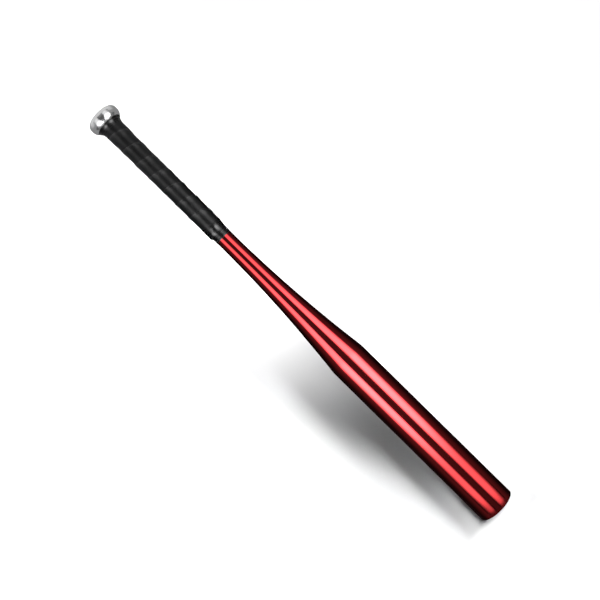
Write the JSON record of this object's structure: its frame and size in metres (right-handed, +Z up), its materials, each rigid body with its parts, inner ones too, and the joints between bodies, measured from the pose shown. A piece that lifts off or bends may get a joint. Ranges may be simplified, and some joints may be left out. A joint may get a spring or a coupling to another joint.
{
  "type": "baseball bat",
  "caption": "Red anodised aluminium baseball bat with a silver knob, a black spiral-wrapped grip and a straight cylindrical barrel.",
  "frame": {"origin": "on the surface the bat lies on, under the middle of its length, directly below its axis; the axis is 27.2 mm up, the barrel's radius", "axes": "+X along the bat's axis from the knob to the barrel's end, +Z up, +Y completes the right-handed set"},
  "size_m": [0.762, 0.0544, 0.0543],
  "materials": {
    "red_anodised_aluminium": "red anodised, glossy with a fine lengthwise polish",
    "satin_aluminium": "bare, turned and satin polished",
    "weld_aluminium": "as welded, rippled",
    "plug_plastic": "moulded, matt",
    "adhesive_tape": "double-sided tape",
    "grip_leather": "black synthetic leather, fine grain, semi-matt",
    "vinyl_tape": "black vinyl tape, glossy",
    "cap_plastic": "moulded urethane, fine texture",
    "urethane_bond": "cured adhesive",
    "foam": "closed-cell foam"
  },
  "bodies": {
    "root": {"bat_tube": "red_anodised_aluminium", "knob": "satin_aluminium", "knob_weld": "weld_aluminium", "knob_plug": "plug_plastic", "grip_underlay": "adhesive_tape", "grip_wrap": "grip_leather", "neck_tape": "vinyl_tape", "finishing_tape": "vinyl_tape", "end_cap": "cap_plastic", "cap_bond": "urethane_bond", "foam_disc": "foam"}
  },
  "joints": []
}
